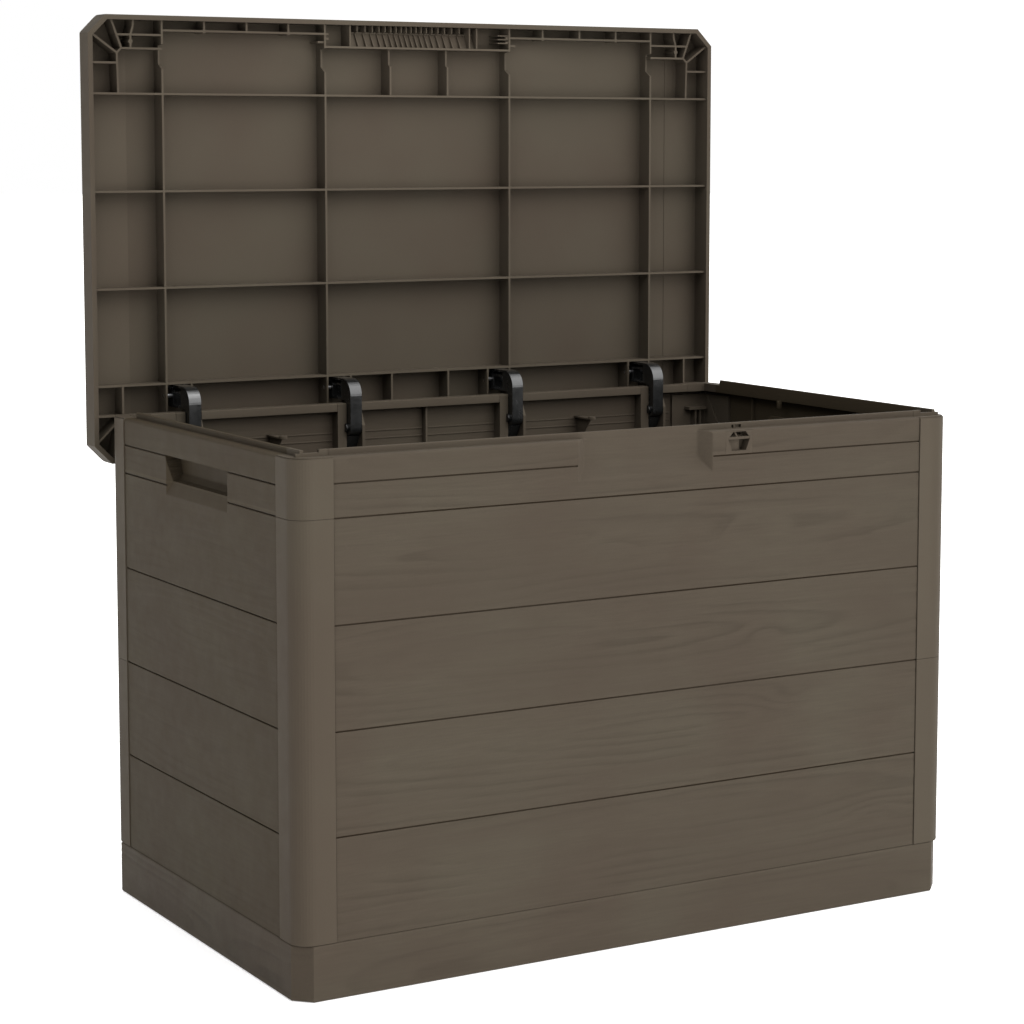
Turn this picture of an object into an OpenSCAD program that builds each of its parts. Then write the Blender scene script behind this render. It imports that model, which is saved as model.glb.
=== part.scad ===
// Deck storage box with planked walls, stacked corner posts and a ribbed lid that
// swings on four gooseneck hinge arms. It is drawn with the lid open at 90 degrees.
// Frame: X to the right seen from the front, Y to the rear, Z up, and the origin at the
// centre of the base's underside. All sizes are in millimetres.

/* [Body] */
// Outer width of the body
body_w = 816; // [760:4:900]
// Outer depth of the body
body_d = 483; // [460:1:520]
// Height of the outer ledge of the rim
rim_z = 546; // [540:1:560]
// Thickness of the moulded walls
wall = 3.2; // [2.6:0.1:3.4]
// Outer radius of the upright corners
corner_r = 20; // [18:1:22]
// Width of the smooth corner strip on each face
strip_w = 43; // [40:1:46]
// How far the planked fields stand back from the corner strips
field_recess = 1; // [0.6:0.1:1.4]

/* [Planks] */
// Height of the plinth
plinth_h = 57.6; // [50:0.2:60]
// Height of one plank
plank_h = 106.75; // [104:0.25:108]
// Height of the lower top band on the front
front_band_h = 34.5; // [30:0.5:36]
// Height of the lower top band on the other sides
side_band_h = 31.5; // [28:0.5:34]
// Width of a groove between planks
groove_w = 1.6; // [1.2:0.1:2.4]
// Depth of a groove between planks
groove_deep = 1.7; // [0.8:0.1:1.8]

/* [Rim] */
// Depth of the rim of the front and the sides
rim_deep = 16.4; // [14:0.2:18]
// Height of the rim's inner face
rim_face = 9.5; // [8:0.5:12]
// Height of the raised inner lip
lip_h = 6.5; // [4:0.5:7]
// Width of the raised inner lip
lip_w = 4; // [3:0.5:6]
// Depth of the rear rim
rear_rim_deep = 18.4; // [17:0.2:20]

/* [Handles] */
// Length of a side handle recess
handle_len = 164; // [120:2:180]
// Depth of a side handle recess
handle_deep = 18; // [14:1:24]
// Length of the finger recess in the front
grip_len = 170; // [120:2:174]
// Middle of the finger recess along the front
grip_x = 1; // [-20:1:4]
// Middle of the padlock eye along the front
eye_x = 119; // [116:0.5:130]

/* [Lid] */
// Outer width of the lid
lid_w = 840; // [830:1:850]
// Outer depth of the lid
lid_d = 506; // [500:1:510]
// Height of the lid from skirt to top
lid_h = 29; // [27:1:34]
// Thickness of the lid's skirt
skirt_t = 5.5; // [4:0.5:6]
// Cut of the lid's corners
lid_cut = 21; // [16:1:24]
// Thickness of the lid's ribs
rib_t = 2.4; // [1.8:0.2:3]

/* [Hinge] */
// Place of the hinge axis from the middle to the rear
pivot_y = 223; // [222:0.5:224]
// Height of the hinge axis
pivot_z = 517; // [516:0.5:518]
// Diameter of a hinge pin
pin_d = 10; // [8:0.5:10]
// Width of a hinge arm
arm_w = 15; // [12:0.5:15.5]

/* [Hidden] */
$fn = 48;

taupe = [0.36, 0.33, 0.29];
gloss_black = [0.06, 0.06, 0.06];
steel = [0.55, 0.55, 0.56];

eps = 0.01;
half_w = body_w / 2;
half_d = body_d / 2;
field_x = half_w - strip_w;          // half length of the front and rear fields
field_y = half_d - strip_w;          // half length of the side fields
joint_gap = 0.3;                     // play between parts of the body
seam_low = plinth_h + 2 * plank_h;   // seam height of one pair of posts
seam_high = plinth_h + 4 * plank_h;  // seam height of the other pair
inner = field_recess + wall;         // depth of a field's inner face
plinth_cut = 17;
floor_z = 14;
tongue_top = 66;
flange_t = 3;
flange_from = tongue_top + 2;
rib_clear = 3.5;                     // the lid's ribs end this far inside the skirt
lid_z = 549.5;                       // closed height of the skirt's lower edge
lid_y = -1;                          // middle of the closed lid
panel_t = 3;                         // thickness of the lid's top
lid_in = lid_z + lid_h - panel_t;    // closed height of the panel's underside
lid_field = 366;                     // half length of the lid's planked field
arm_x = [-314.5, -110, 110, 314.5];
hub_r = 9.5;                         // outer radius of an arm's hub
arm_back = 226;                      // back of an arm's upright limb
arm_under = 549;                     // underside of an arm's foot
arm_top = 574.4;                     // top of an arm's foot
arm_end = pivot_y + lid_in - pivot_z; // the open lid's panel, where the foot ends
slot_w = arm_w + 0.8;
rivet_d = 5;
bore_play = 0.08;                    // radial play of a pin in its bore

function arc(cx, cy, r, a0, a1, n) =
    [for (i = [0 : n]) let (a = a0 + (a1 - a0) * i / n) [cx + r * cos(a), cy + r * sin(a)]];

// ---------- helpers ----------

// A box given by its lowest and highest corners
module span(low, high) {
    translate(low) cube([high[0] - low[0], high[1] - low[1], high[2] - low[2]]);
}

// Turns an upright section, drawn as [depth, height], into a wall along X.
// Depth 0 is the outer plane at y = -dist, and depth grows inwards.
module along_wall(dist, half_len) {
    translate([-half_len, -dist, 0])
        rotate([90, 0, 90])
            linear_extrude(2 * half_len) children();
}

// Walls are drawn as the front one and turned to their side
module to_left() { rotate([0, 0, -90]) children(); }
module to_rear() { rotate([0, 0, 180]) children(); }

// Rounded outer top edge of a rim
edge_r = 3.5;

// Section of a planked wall with its rim and raised lip
module field_section(deep, lip) {
    top = lip > 0
        ? [[deep - lip_w, rim_z], [deep - lip_w, rim_z + lip - 1], [deep - lip_w + 1, rim_z + lip],
           [deep - 1, rim_z + lip], [deep, rim_z + lip - 1]]
        : [[deep - 1, rim_z], [deep, rim_z - 1]];
    polygon(concat(
        [[field_recess, plinth_h + joint_gap]],
        arc(field_recess + edge_r, rim_z - edge_r, edge_r, 180, 90, 6),
        top,
        [[deep, rim_z - rim_face], [deep - wall, rim_z - rim_face], [deep - wall, rim_z - wall],
         [inner, rim_z - wall], [inner, plinth_h + joint_gap]]
    ));
}

// Grooves between planks, as cuts into the outer face
module plank_grooves(dist, half_len, band_h, gap_from = 0, gap_to = 0) {
    depth = field_recess + groove_deep;
    for (i = [1 : 4])
        span([-half_len - 1, -dist - 1, plinth_h + i * plank_h - groove_w / 2],
             [half_len + 1, -dist + depth, plinth_h + i * plank_h + groove_w / 2]);
    band = plinth_h + 4 * plank_h + band_h;
    parts = gap_to > gap_from
        ? [[-half_len - 1, gap_from], [gap_to, half_len + 1]]
        : [[-half_len - 1, half_len + 1]];
    for (p = parts)
        span([p[0], -dist - 1, band - groove_w / 2], [p[1], -dist + depth, band + groove_w / 2]);
}

// Upright ribs on the inner face of a wall
module wall_ribs(dist, places, deep, from_z, to_z) {
    for (x = places)
        span([x - 1, -dist + inner - 0.2, from_z], [x + 1, -dist + inner + deep, to_z]);
}

// ---------- finger recesses ----------

// Half length of a recess at a depth, when its ends close by slant over its full depth
function end_at(half, slant, deep, depth) = half - depth * slant / deep;

// Space of a side handle: a deep slot for the fingers, whose ends lean inwards as they go
// down and whose floor slopes up to its back, behind a shallow scoop that leads into it
handle_top = seam_high + side_band_h + groove_w / 2;
handle_sill = handle_top - 27.5;
handle_foot = handle_top - 46;
scoop_deep = 6;
handle_slant = 10;
floor_run = 6;                       // the slot's floor slopes over this depth
floor_rise = 7.5;

module handle_space(grow) {
    half = handle_len / 2;
    slope = (handle_sill - handle_foot) / scoop_deep;
    lean = sqrt(1 + slope * slope);
    side = sqrt(1 + pow(handle_slant / scoop_deep, 2));
    intersection() {
        translate([0, -half_w + handle_deep + grow, 0])
            rotate([90, 0, 0])
                linear_extrude(handle_deep + grow + 5)
                    polygon([[-half - grow, handle_top + grow], [half + grow, handle_top + grow],
                             [half - handle_slant + grow, handle_sill - grow],
                             [-half + handle_slant - grow, handle_sill - grow]]);
        along_wall(half_w, handle_len)
            polygon([[-6, handle_sill - grow - 1], [-6, handle_top + grow + 1],
                     [handle_deep + grow, handle_top + grow + 1],
                     [handle_deep + grow, handle_sill + floor_rise - grow * 0.3],
                     [handle_deep - floor_run + grow * 0.5, handle_sill - grow - 0.01],
                     [handle_deep - floor_run + grow * 0.5, handle_sill - grow - 1]]);
    }
    intersection() {
        along_wall(half_w, handle_len)
            polygon([[-5, handle_foot - 5 * slope - grow * lean], [-5, handle_top + grow],
                     [scoop_deep + grow, handle_top + grow],
                     [scoop_deep + grow, handle_sill + grow * slope - grow * lean]]);
        translate([0, -half_w, 0])
            linear_extrude(rim_z)
                polygon([for (e = [[-1, -10], [1, -10], [1, scoop_deep + grow], [-1, scoop_deep + grow]])
                    [e[0] * (end_at(half, handle_slant, scoop_deep, e[1]) + grow * side), e[1]]]);
    }
}

// Space of the front finger recess: open to the rim's ledge, upright behind and fading out
// towards its foot
grip_deep = rim_deep - lip_w;
grip_sill = 522;
grip_foot = 498;
grip_slant = 14;
grip_steps = 8;

module grip_space(grow) {
    half = grip_len / 2;
    // t runs from the foot, where the scoop is flat, to the sill, where it is deepest
    curve = [for (i = [grip_steps : -1 : 0]) let (t = i / grip_steps)
        [grip_deep * t * t * (3 - 2 * t) + grow, grip_foot + (grip_sill - grip_foot) * t - grow * (1 - t)]];
    intersection() {
        translate([grip_x, 0, 0])
            along_wall(half_d, half + 10 + 2 * grow)
                polygon(concat([[-5, grip_foot - grow], [-5, rim_z + 5], [grip_deep + grow, rim_z + 5]],
                               curve, [[grow - 1, grip_foot - grow - 0.5]]));
        translate([grip_x, -half_d, 0])
            linear_extrude(rim_z + 5)
                polygon([for (e = [[-1, -5], [1, -5], [1, grip_deep + grow], [-1, grip_deep + grow]])
                    [e[0] * (end_at(half, grip_slant, grip_deep, e[1]) + 1.5 * grow), e[1]]]);
    }
}

// ---------- padlock eye ----------

eye_w = 34;
eye_low = 520;
eye_turn = 40;                       // how far the insert follows the rounded edge, in degrees
eye_high = rim_z - edge_r * (1 - sin(eye_turn));
eye_deep = 14.5;
eye_pocket = 6.5;
eye_back = 12;                       // depth of the space above the bar and of the slot below it
eye_slot = 3.4;                      // where the deep slot begins, from the middle of the eye
tongue_slots = [[-2.6, 0.3], [1.7, 10]]; // ways for the lid's tongue, through the lip

// Hole in the front panel for the padlock eye's moulded insert
module eye_hole(play) {
    span([eye_x - eye_w / 2 - play, -half_d - 5, eye_low - play],
         [eye_x + eye_w / 2 + play, -half_d + eye_deep + play, eye_high + play]);
}

// Six-sided opening of the eye, narrow at its foot and wide at its shoulders
module eye_outline() {
    low = eye_low + 3.4;
    high = eye_high - 1.1;
    shoulder = 536.6;
    polygon([[-9.4, low], [9, low], [14.2, shoulder], [8.6, high], [-7.4, high], [-14.2, shoulder]]);
}

module eye_cut(from_y, to_y) {
    translate([0, -half_d + to_y, 0])
        rotate([90, 0, 0])
            linear_extrude(to_y - from_y) children();
}

module padlock_eye() color(taupe) {
    bar_z = 537;
    translate([eye_x, 0, 0]) {
        difference() {
            along_wall(half_d, eye_w / 2)
                polygon(concat(
                    [[field_recess, eye_low]],
                    arc(field_recess + edge_r, rim_z - edge_r, edge_r, 180, 180 - eye_turn, 4),
                    [[eye_deep, eye_high], [eye_deep, eye_low]]));
            // shackle space: shallow below the bar, with a deep slot, and deep above it
            eye_cut(-5, eye_pocket) eye_outline();
            eye_cut(0, eye_back) intersection() {
                eye_outline();
                union() {
                    translate([-20, bar_z]) square([40, 20]);
                    translate([eye_slot, eye_low]) square([20, 30]);
                }
            }
            for (slot = tongue_slots)
                span([slot[0], -half_d + eye_back - 2, bar_z + 2], [slot[1], -half_d + eye_deep + 1, rim_z]);
        }
        // staple bar and the strut above it
        eye_cut(field_recess + 0.2, 4)
            polygon([[-13.8, bar_z - 1.4], [13.8, bar_z - 1.4], [13.4, bar_z + 1.4], [-13.4, bar_z + 1.4]]);
        eye_cut(field_recess + 0.8, 4)
            polygon([[-2.6, bar_z], [-0.4, bar_z], [-4.6, eye_high - 0.5], [-6.6, eye_high - 0.5]]);
    }
}

// ---------- walls ----------

module front_panel() color(taupe) {
    difference() {
        union() {
            along_wall(half_d, field_x - joint_gap / 2) field_section(rim_deep, lip_h);
            intersection() {
                grip_space(wall - 0.4);
                span([-half_w, -half_d + field_recess + 0.5, plinth_h], [half_w, 0, rim_z - 1]);
            }
            wall_ribs(half_d, [-244, -122, 122, 244], 5, tongue_top + 4, rim_z - rim_face - 34);
            span([eye_x - eye_w / 2 - 3, -half_d + inner - 1, eye_low - 3],
                 [eye_x + eye_w / 2 + 3, -half_d + rim_deep, rim_z - 1]);
        }
        plank_grooves(half_d, field_x, front_band_h, grip_x - grip_len / 2, grip_x + grip_len / 2);
        grip_space(0);
        eye_hole(0.15);
        // windows for the lid's tongue, in the outer face of the lip
        for (slot = tongue_slots) {
            span([eye_x + slot[0], -half_d + 5, rim_z], [eye_x + slot[1], -half_d + 15.2, rim_z + 4.2]);
            span([eye_x + slot[0], -half_d + grip_deep, rim_z - 2], [eye_x + slot[1], -half_d + 15.2, rim_z + 1]);
        }
    }
}

module side_panel() color(taupe) {
    difference() {
        union() {
            along_wall(half_w, field_y - joint_gap / 2) field_section(rim_deep, lip_h);
            intersection() {
                handle_space(wall - 0.2);
                span([-half_w, -half_w + field_recess + 0.5, plinth_h], [half_w, 0, rim_z - 1]);
            }
            wall_ribs(half_w, [-130, 130], 5, tongue_top + 4, rim_z - rim_face);
            // two small hooks below the rim
            for (x = [-60, 120])
                span([x - 2, -half_w + rim_deep - 1, rim_z - rim_face - 8],
                     [x + 2, -half_w + rim_deep + 4, rim_z - rim_face + 1]);
        }
        // the band's groove runs a little into both ends of the handle's slot
        plank_grooves(half_w, field_y, side_band_h, 1.5 - handle_len / 2, handle_len / 2 - 1.5);
        handle_space(0);
        // the raised lip stops short of the rear corner
        span([-field_y - 1, -half_w - 1, rim_z], [-190, -half_w + rim_deep + 1, rim_z + lip_h + 1]);
    }
}

module left_panel() to_left() side_panel();
module right_panel() mirror([1, 0, 0]) left_panel();

// Bracket that stands out of the rear wall, with a gusset below it and a round tip
module wall_bracket(x, reach, z) {
    back = half_d - inner;
    span([x - 5, back - reach + 4, z - 2.4], [x + 5, back + 0.5, z]);
    translate([x, back - reach + 4, z - 2.4]) cylinder(r = 5, h = 4);
    translate([x - 1.2, 0, 0])
        rotate([90, 0, 90])
            linear_extrude(2.4)
                polygon([[back + 0.5, z - 1], [back - reach + 6, z - 1], [back - 4, z - 34], [back + 0.5, z - 34]]);
}

module rear_panel() color(taupe) {
    back = half_d - inner;
    slot_low = pivot_z - 50;
    difference() {
        union() {
            to_rear() along_wall(half_d, field_x - joint_gap / 2) field_section(rear_rim_deep, 0);
            // beads and the middle rib of the inner face
            for (z = [501, 510])
                span([-field_x + 18, back - 1, z - 0.8], [field_x - 18, back + 0.2, z + 0.8]);
            span([-9.5, back - 9, tongue_top + 4], [-7, back + 0.2, rim_z - 2]);
            for (x = [-210, 210]) wall_bracket(x, 38, 513);
        }
        to_rear() plank_grooves(half_d, field_x, side_band_h);
        // gaps of the rim and the beads where the hinges stand
        for (x = arm_x)
            span([x + slot_left - joint_gap, back - 20, slot_low],
                 [x + slot_right + joint_gap, back, rim_z + 1]);
    }
}

// ---------- corner posts ----------

// Plan of a front left post: an L with a rounded outer corner
module post_plan(deep, arm_x_len, arm_y_len, start = 0) {
    r = corner_r - start;
    inner_r = max(0.5, corner_r - deep);
    polygon(concat(
        [[arm_x_len, start], [arm_x_len, deep]],
        arc(deep + inner_r, deep + inner_r, inner_r, 270, 180, 6),
        [[deep, arm_y_len], [start, arm_y_len]],
        arc(start + r, start + r, r, 180, 270, 10)
    ));
}

module left_post(low, high, lipped) color(taupe) {
    top_part = high > rim_z;
    wall_top = top_part ? rim_z - edge_r * 0.4 : high;
    edge = strip_w - joint_gap / 2;
    translate([-half_w, -half_d, 0]) {
        translate([0, 0, low]) linear_extrude(wall_top - low) post_plan(wall, edge, edge);
        // flanges that hold the panels from inside
        flange_low = max(low, flange_from);
        flange_high = min(high, rim_z - 14);
        flange_x = edge + 16;
        translate([0, 0, flange_low]) linear_extrude(flange_high - flange_low) {
            post_plan(inner + joint_gap + flange_t, flange_x, flange_x, inner + joint_gap);
            translate([edge - 14, wall - 0.1]) square([10, inner + joint_gap - wall + 0.2]);
            translate([wall - 0.1, edge - 14]) square([inner + joint_gap - wall + 0.2, 10]);
        }
        if (top_part) {
            translate([0, 0, rim_z - rim_face]) linear_extrude(rim_face - 1.4)
                post_plan(rim_deep, edge, edge);
            translate([0, 0, rim_z - 1.5]) linear_extrude(1.5)
                post_plan(rim_deep, edge, edge, 1.4);
            // ends of the raised lip, joined by a low ledge that runs past the corner
            if (lipped) translate([rim_deep - lip_w, rim_deep - lip_w, rim_z - eps]) {
                lip_end = edge - rim_deep + lip_w;
                ledge_end = 20.6;
                span([0, 0.6, 0], [lip_w, lip_end, lip_h]);
                span([ledge_end, 0, 0], [lip_end, lip_w, lip_h]);
                span([-4.5, 0, 0], [ledge_end + eps, lip_w, lip_h - 3]);
            }
        }
    }
}

// Upright fin that stiffens a rear corner, wider towards its foot
module corner_fin() {
    fin = [[half_d - wall + 0.1, rim_z - rim_face], [half_d - wall - 7, rim_z - rim_face],
           [half_d - wall - 34, rim_z - 48], [half_d - wall - 34, rim_z - 51],
           [half_d - wall + 0.1, rim_z - 51]];
    translate([-half_w + wall + 5, 0, 0]) rotate([90, 0, 90]) linear_extrude(2.4) polygon(fin);
}

// Small shelf with two pegs, inside a rear corner
module corner_shelf() {
    back = half_d - inner - joint_gap - flange_t;
    span([-half_w + 14, back - 12, 513], [-half_w + 40, back + 1, 516.5]);
    for (x = [-half_w + 22, -half_w + 29])
        span([x - 1.2, back - 10, 494], [x + 1.2, back + 1, 514]);
}

module front_left_post(low, high) left_post(low, high, true);

// The rear rim is deeper and has no lip, and its posts carry the corner's fittings
module rear_left_post(low, high) {
    color(taupe) {
        mirror([0, 1, 0]) left_post(low, high, false);
        if (high > rim_z) {
            span([-half_w + rim_deep - 1, half_d - rear_rim_deep, rim_z - rim_face],
                 [-half_w + strip_w - joint_gap / 2, half_d - rim_deep + 1, rim_z]);
            corner_fin();
            corner_shelf();
        }
    }
}

post_low = plinth_h + joint_gap;
post_high = rim_z + lip_h;

module front_left_post_lower() front_left_post(post_low, seam_high);
module front_left_post_upper() front_left_post(seam_high + joint_gap, post_high);
module front_right_post_lower() mirror([1, 0, 0]) front_left_post(post_low, seam_low);
module front_right_post_upper() mirror([1, 0, 0]) front_left_post(seam_low + joint_gap, post_high);
module rear_left_post_lower() rear_left_post(post_low, seam_low);
module rear_left_post_upper() rear_left_post(seam_low + joint_gap, post_high);
module rear_right_post_lower() mirror([1, 0, 0]) rear_left_post(post_low, seam_high);
module rear_right_post_upper() mirror([1, 0, 0]) rear_left_post(seam_high + joint_gap, post_high);

// ---------- base ----------

module plinth_plan(start, cut) {
    x = half_w - start;
    y = half_d - start;
    polygon([[-x + cut, -y], [x - cut, -y], [x, -y + cut], [x, y - cut],
             [x - cut, y], [-x + cut, y], [-x, y - cut], [-x, -y + cut]]);
}

module base_tray() color(taupe) {
    tongue_from = inner + joint_gap;
    difference() {
        union() {
            difference() {
                linear_extrude(plinth_h) plinth_plan(0, plinth_cut);
                translate([0, 0, floor_z]) linear_extrude(plinth_h) plinth_plan(wall + 0.2, plinth_cut - 1);
                translate([0, 0, -1]) linear_extrude(floor_z - wall + 1) plinth_plan(wall + 0.2, plinth_cut - 1);
            }
            // ledge and tongue that carry the walls
            translate([0, 0, plinth_h - 12]) linear_extrude(12)
                difference() {
                    plinth_plan(wall, plinth_cut - 1);
                    plinth_plan(tongue_from + 2.6, corner_r);
                }
            translate([0, 0, plinth_h - 12]) linear_extrude(tongue_top - plinth_h + 12)
                difference() {
                    plinth_plan(tongue_from, corner_r);
                    plinth_plan(tongue_from + 2.6, corner_r);
                }
            // stiffening ribs below the floor
            for (x = [-320 : 80 : 320])
                span([x - 1.25, -half_d + 2, 2], [x + 1.25, half_d - 2, floor_z - 1]);
            for (y = [-160, -80, 80, 160])
                span([-half_w + 2, y - 1.25, 2], [half_w - 2, y + 1.25, floor_z - 1]);
            span([-half_w + 2, -1.25, 0], [half_w - 2, 1.25, floor_z - 1]);
            cylinder(r = 24, h = floor_z - 1);
            // low swages on the floor
            for (y = [-150 : 75 : 150])
                span([-half_w + 60, y - 8, floor_z - 1], [half_w - 60, y + 8, floor_z + 2]);
        }
    }
}

// ---------- hinges ----------

// Places across one hinge, from the middle of its arm
slot_left = -19.5;
slot_right = 11.5;
pier_in = -slot_w / 2;
cheek_in = slot_w / 2;
housing_low = 440;
pin_seat = 2.4;                      // how far a pin stands in its pier

module in_side_plane(from_x, to_x) {
    translate([from_x, 0, 0]) rotate([90, 0, 90]) linear_extrude(to_x - from_x) children();
}

// Body-coloured housing: a pier on the left of the arm and a cheek on its right
module hinge_housing(x) color(taupe) {
    back = half_d - inner;
    face = half_d - rear_rim_deep;
    cheek_front = pivot_y - hub_r;
    translate([x, 0, 0])
        difference() {
            union() {
                in_side_plane(slot_left, pier_in)
                    polygon([[back, housing_low], [back - 2, housing_low], [face, housing_low + 16],
                             [face, rim_z - 1], [face + 1, rim_z], [back, rim_z]]);
                in_side_plane(cheek_in, slot_right)
                    polygon([[back, housing_low], [back - 2, housing_low],
                             [cheek_front, housing_low + 26], [cheek_front, pivot_z + 3],
                             [face - 1, rim_z - rim_face], [face, rim_z - rim_face],
                             [face, rim_z - 1], [face + 1, rim_z], [back, rim_z]]);
                // thin back that joins the two
                in_side_plane(pier_in - 1, cheek_in + 1)
                    polygon([[back, housing_low + 4], [back - 2, housing_low + 4],
                             [back - 2, rim_z - 4], [back, rim_z - 4]]);
            }
            // seat of the pin, open to the front in the pier, and its eye in the cheek
            translate([pier_in - pin_seat - 0.2, pivot_y, pivot_z])
                rotate([0, 90, 0]) cylinder(d = pin_d + 2 * bore_play, h = 50);
        }
}

// Black stop: a wedge below the hub and a pad behind the open arm
module hinge_stop(x) color(gloss_black) {
    back = half_d - inner - 2;
    hub_gap = hub_r + 0.7;
    half = slot_w / 2 - 0.2;
    translate([x, 0, 0])
        in_side_plane(-half, half)
            difference() {
                polygon([[back, 484], [back - 1.5, 484], [pivot_y - 7.5, pivot_z - 2],
                         [pivot_y, pivot_z], [arm_back + 0.4, pivot_z], [arm_back + 0.4, 540],
                         [back, 540]]);
                translate([pivot_y, pivot_z]) circle(r = hub_gap);
            }
}

module hinge_pin(x) color(gloss_black)
    translate([x + pier_in - pin_seat, pivot_y, pivot_z])
        rotate([0, 90, 0]) cylinder(d = pin_d, h = pin_seat + slot_w + slot_right - cheek_in);

rivet_at = [267, 561.5];
rivet_half = 15.8;                   // half length of a rivet, flush within the pocket's ribs

// Gooseneck: hub, upright limb, rounded shoulder and a foot that fills the lid's pocket
module arm_outline() {
    shoulder_r = 19.5;
    fillet_r = 6;
    polygon(concat(
        arc(pivot_y - hub_r + shoulder_r, arm_top - shoulder_r, shoulder_r, 180, 90, 12),
        [[arm_end, arm_top], [arm_end, arm_under]],
        arc(arm_back + fillet_r, arm_under - fillet_r, fillet_r, 90, 180, 5),
        arc(pivot_y, pivot_z, hub_r, acos((arm_back - pivot_y) / hub_r), -180, 24)
    ));
}

module hinge_arm(x) color(gloss_black) {
    web = 4;
    translate([x, 0, 0])
        difference() {
            in_side_plane(-arm_w / 2, arm_w / 2) arm_outline();
            for (side = [-1, 1])
                translate([side * (web / 2 + 10), 0, 0]) {
                    span([-10, 238, 568.5], [10, arm_end - 2.5, arm_top - 2.6]);
                    span([-10, 238, arm_under + 2.6], [10, rivet_at[0] - 7, 565.9]);
                }
            translate([-20, pivot_y, pivot_z])
                rotate([0, 90, 0]) cylinder(d = pin_d + 2 * bore_play, h = 40);
            translate([-20, rivet_at[0], rivet_at[1]])
                rotate([0, 90, 0]) cylinder(d = rivet_d + 2 * bore_play, h = 40);
        }
}

module arm_rivet(x) color(steel)
    translate([x - rivet_half, rivet_at[0], rivet_at[1]])
        rotate([0, 90, 0]) cylinder(d = rivet_d, h = 2 * rivet_half);

// ---------- lid ----------

// The lid is drawn closed and swung open about the hinge axis
module open_lid() {
    translate([0, pivot_y, pivot_z]) rotate([-90, 0, 0]) translate([0, -pivot_y, -pivot_z]) children();
}

lid_front = lid_y - lid_d / 2;
lid_back = lid_y + lid_d / 2;
lid_top = lid_z + lid_h;
rib_z = lid_z + rib_clear;
rib_high = lid_in + 0.5;

module lid_plan(start) {
    x = lid_w / 2 - start;
    f = lid_front + start;
    b = lid_back - start;
    c = lid_cut - start * 0.586;
    polygon([[-x + c, f], [x - c, f], [x, f + c], [x, b - c], [x - c, b], [-x + c, b], [-x, b - c], [-x, f + c]]);
}

// Upright plate between two points of the plan
module rib(a, b, low = rib_z, t = rib_t) {
    d = b - a;
    translate([a[0], a[1], low])
        rotate([0, 0, atan2(d[1], d[0])])
            translate([0, -t / 2, 0]) cube([norm(d), t, rib_high - low]);
}

module mirror_x() {
    children();
    mirror([1, 0, 0]) children();
}

bay = 110;
cross_ribs = [for (i = [-1.5 : 1 : 1.5]) lid_y + i * bay];
main_x = 330;
mid_x = 124.8;
pocket_x = [94, 299];
side_x = 383.5;
short_x = 38.7;
box_y = lid_front + 31.5;
front_in = lid_front + 2;
back_in = lid_back - 2;

// Rib whose lower edge is notched near the front
module notched_rib(x, y0, y1, notch_from, notch_to, notch_deep) {
    in_side_plane(x - rib_t / 2, x + rib_t / 2)
        polygon([[y0, rib_z], [notch_from, rib_z], [notch_from + 1, rib_z + notch_deep],
                 [notch_to - notch_deep * 0.6, rib_z + notch_deep], [notch_to, rib_z],
                 [y1, rib_z], [y1, rib_high], [y0, rib_high]]);
}

module lid_corner_ribs() {
    joint_a = [-379.2, lid_front + 37];
    joint_b = [-384.6, lid_front + 42.3];
    lip_y = lid_front + 22;
    rib([-392, lid_front + 2.5], joint_a);
    rib([-417, lid_front + 19.5], joint_b);
    rib(joint_a, joint_b);
    rib(joint_a + [-1, 0.3], [-main_x, lid_front + 37.3]);
    rib([-386, lip_y], [-main_x, lip_y]);
    rib(joint_b, [-side_x, cross_ribs[0]]);
    rib([-lid_w / 2 + 2, lid_front + 53.5], [-side_x, lid_front + 53.5]);
    rib([-364.5, lid_front + 3], [-365, lid_front + 12]);
    rib([-365, lid_front + 12], [-368, lip_y]);
    rib([-368, lip_y], [-368, lid_front + 37]);
    translate([-368, lid_front + 29.5, rib_z]) cylinder(r = 2.6, h = rib_high - rib_z);
}

module lid_rear_corner_ribs() {
    joint = [-side_x, lid_back - 54];
    rib([-lid_w / 2 + 2, joint[1]], joint);
    rib([-lid_w / 2 + 4, lid_back - 23], joint);
    rib([-lid_w / 2 + 24, lid_back - 3], joint);
}

module lid_ribs() {
    for (y = cross_ribs) rib([-lid_w / 2 + 3, y], [lid_w / 2 - 3, y]);
    mirror_x() {
        notched_rib(-main_x, front_in, back_in, lid_front + 32, lid_front + 60, 10);
        notched_rib(-mid_x, front_in, back_in, lid_front + 33, lid_front + 61, 10);
        notched_rib(-short_x, box_y, cross_ribs[0], box_y + 1, box_y + 22, 4);
        rib([-side_x, cross_ribs[3]], [-side_x, back_in]);
        rib([-short_x, cross_ribs[3]], [-short_x, back_in]);
        for (x = pocket_x) rib([-x, cross_ribs[3]], [-x, back_in]);
        // long rib behind the front skirt, with its round bosses
        rib([-main_x, lid_front + 16.5], [-mid_x, lid_front + 16.5]);
        for (x = [-278, -172])
            translate([x, lid_front + 16.5, rib_z]) cylinder(r = 2.4, h = rib_high - rib_z);
        for (x = [-278, -225, -172]) rib([x, front_in], [x, lid_front + 16.5]);
        // the end caps of the lid are a little thicker than its planked field
        span([-lid_w / 2 + 2, lid_front + 2, lid_in - 0.5], [-lid_field, lid_back - 2, lid_in + 0.5]);
        rib([-mid_x - 9, lid_front + 26], [-mid_x, lid_front + 26], rib_z + 1);
        for (y = [16.5, 22]) rib([-mid_x, lid_front + y], [-mid_x + 5, lid_front + y], rib_z + 1);
        lid_corner_ribs();
        lid_rear_corner_ribs();
    }
    // front box that carries the comb
    rib([-mid_x - rib_t / 2, box_y], [mid_x + rib_t / 2, box_y]);
    // guides of the latch tongue
    for (y = [14, 18.5, 23]) rib([mid_x - 16, lid_front + y], [mid_x, lid_front + y], rib_z + 1, 1.4);
}

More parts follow.
